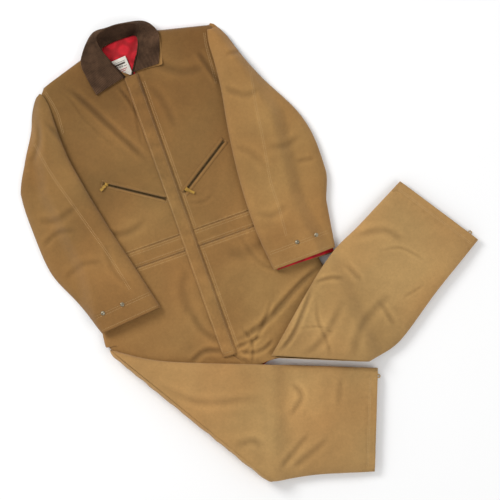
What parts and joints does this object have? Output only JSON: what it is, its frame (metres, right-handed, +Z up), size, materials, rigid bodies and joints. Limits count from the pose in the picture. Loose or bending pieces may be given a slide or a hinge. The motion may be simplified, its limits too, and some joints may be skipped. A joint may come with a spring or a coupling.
{
  "type": "insulated work coverall",
  "caption": "Padded canvas work coverall laid flat, with corduroy collar, placket over a full front zip, slanted chest pockets and zipped legs folded over the thighs.",
  "frame": {"origin": "on the floor, under the middle of the laid-out footprint", "axes": "+Z up from the floor, out of the front of the suit; +Y towards the head, which leans 19.5 degrees towards -X; +X towards the wearer's left"},
  "size_m": [1.1662, 1.1784, 0.0547],
  "materials": {
    "canvas": "duck canvas, worn and matt",
    "canvas_legs": "duck canvas, sun-faded and matt",
    "corduroy": "fine-wale cotton corduroy",
    "quilted_lining": "quilted nylon taffeta, slight sheen",
    "pocketing": "plain cotton drill",
    "zip_tape": "woven tape with metal teeth",
    "label_cloth": "white woven ribbon",
    "zip_metal": "dull nickel"
  },
  "bodies": {
    "torso": {"back_panel": "canvas", "back_lining": "quilted_lining", "waistband_back": "canvas", "fly_underlap": "canvas", "main_zip": "zip_tape", "neck_label": "label_cloth", "collar_back": "corduroy", "front_panel_right": "canvas", "front_lining_right": "quilted_lining", "waistband_front_right": "canvas", "pocket_bag_right": "pocketing", "pocket_zip_right": "zip_tape", "thigh_front_right": "canvas_legs", "seat_panel_right": "canvas_legs", "thigh_lining_right": "quilted_lining", "front_panel_left": "canvas", "front_lining_left": "quilted_lining", "waistband_front_left": "canvas", "pocket_bag_left": "pocketing", "pocket_zip_left": "zip_tape", "thigh_front_left": "canvas_legs", "seat_panel_left": "canvas_legs", "thigh_lining_left": "quilted_lining"},
    "placket": {"placket": "canvas"},
    "main_zip_slider": {"main_zip_slider": "zip_metal"},
    "main_zip_pull": {"main_zip_pull": "zip_metal"},
    "pocket_slider_right": {"pocket_slider_right": "zip_metal"},
    "pocket_pull_right": {"pocket_pull_right": "zip_metal"},
    "collar_right": {"collar_leaf_right": "corduroy", "under_collar_right": "canvas"},
    "sleeve_right": {"sleeve_right_upper": "canvas", "sleeve_right_under": "canvas", "sleeve_right_lining": "quilted_lining", "cuff_snap_right_inner": "zip_metal", "cuff_snap_right_outer": "zip_metal"},
    "lower_leg_right": {"leg_right_back": "canvas_legs", "leg_right_front": "canvas_legs", "leg_right_lining": "quilted_lining", "leg_zip_right": "zip_tape"},
    "leg_zip_slider_right": {"leg_zip_slider_right": "zip_metal"},
    "leg_zip_pull_right": {"leg_zip_pull_right": "zip_metal"},
    "pocket_slider_left": {"pocket_slider_left": "zip_metal"},
    "pocket_pull_left": {"pocket_pull_left": "zip_metal"},
    "collar_left": {"collar_leaf_left": "corduroy", "under_collar_left": "canvas"},
    "sleeve_left": {"sleeve_left_upper": "canvas", "sleeve_left_under": "canvas", "sleeve_left_lining": "quilted_lining", "cuff_snap_left_inner": "zip_metal", "cuff_snap_left_outer": "zip_metal"},
    "lower_leg_left": {"leg_left_back": "canvas_legs", "leg_left_front": "canvas_legs", "leg_left_lining": "quilted_lining", "leg_zip_left": "zip_tape"},
    "leg_zip_slider_left": {"leg_zip_slider_left": "zip_metal"},
    "leg_zip_pull_left": {"leg_zip_pull_left": "zip_metal"}
  },
  "joints": [
    {"name": "placket_open", "type": "hinge", "parent": "torso", "child": "placket", "pos_m": [-0.15487, 0.09, 0.0357], "axis": [-0.3338, 0.9426, 0], "range_deg": [0, 120]},
    {"name": "main_zip_slide", "type": "slide", "parent": "torso", "child": "main_zip_slider", "axis": [0.3338, -0.9426, 0], "range_m": [0, 0.69]},
    {"name": "main_pull_swing", "type": "hinge", "parent": "main_zip_slider", "child": "main_zip_pull", "pos_m": [-0.2854, 0.41666, 0.02975], "axis": [-0.9426, -0.3338, 0], "range_deg": [0, 9]},
    {"name": "pocket_zip_right_slide", "type": "slide", "parent": "torso", "child": "pocket_slider_right", "axis": [0.972, -0.2351, 0], "range_m": [0, 0.12]},
    {"name": "pocket_pull_right_swing", "type": "hinge", "parent": "pocket_slider_right", "child": "pocket_pull_right", "pos_m": [-0.36208, 0.16708, 0.02925], "axis": [-0.712, 0.7022, 0], "range_deg": [0, 150]},
    {"name": "collar_right_flip", "type": "hinge", "parent": "torso", "child": "collar_right", "pos_m": [-0.29935, 0.44408, 0.0311], "axis": [-0.726, 0.6877, 0], "range_deg": [0, 80]},
    {"name": "sleeve_right_lift", "type": "hinge", "parent": "torso", "child": "sleeve_right", "pos_m": [-0.52937, 0.41036, 0.0523], "axis": [-0.9114, -0.4115, 0], "range_deg": [0, 110]},
    {"name": "leg_right_unfold", "type": "hinge", "parent": "torso", "child": "lower_leg_right", "pos_m": [-0.14497, -0.42207, 0.02615], "axis": [0.7771, -0.6293, 0], "range_deg": [0, 180]},
    {"name": "leg_zip_right_slide", "type": "slide", "parent": "lower_leg_right", "child": "leg_zip_slider_right", "axis": [-0.9996, 0.0297, 0], "range_m": [0, 0.2]},
    {"name": "leg_pull_right_swing", "type": "hinge", "parent": "leg_zip_slider_right", "child": "leg_zip_pull_right", "pos_m": [0.32138, -0.32286, 0.00275], "axis": [0.0297, 0.9996, 0], "range_deg": [0, 160]},
    {"name": "pocket_zip_left_slide", "type": "slide", "parent": "torso", "child": "pocket_slider_left", "axis": [0.6074, 0.7944, 0], "range_m": [0, 0.12]},
    {"name": "pocket_pull_left_swing", "type": "hinge", "parent": "pocket_slider_left", "child": "pocket_pull_left", "pos_m": [-0.15742, 0.15497, 0.02925], "axis": [-0.4446, -0.8957, 0], "range_deg": [0, 150]},
    {"name": "collar_left_flip", "type": "hinge", "parent": "torso", "child": "collar_left", "pos_m": [-0.29181, 0.44675, 0.0311], "axis": [-0.1314, -0.9913, 0], "range_deg": [0, 80]},
    {"name": "sleeve_left_lift", "type": "hinge", "parent": "torso", "child": "sleeve_left", "pos_m": [-0.09193, 0.56527, 0.0523], "axis": [-0.9367, -0.3502, 0], "range_deg": [0, 110]},
    {"name": "leg_left_unfold", "type": "hinge", "parent": "torso", "child": "lower_leg_left", "pos_m": [0.20091, -0.279, 0.02615], "axis": [0.9991, -0.0419, 0], "range_deg": [0, 60]},
    {"name": "leg_zip_left_slide", "type": "slide", "parent": "lower_leg_left", "child": "leg_zip_slider_left", "axis": [-0.599, -0.8007, 0], "range_m": [0, 0.2]},
    {"name": "leg_pull_left_swing", "type": "hinge", "parent": "leg_zip_slider_left", "child": "leg_zip_pull_left", "pos_m": [0.56085, 0.03519, 0.00275], "axis": [-0.8007, 0.599, 0], "range_deg": [0, 160]}
  ]
}
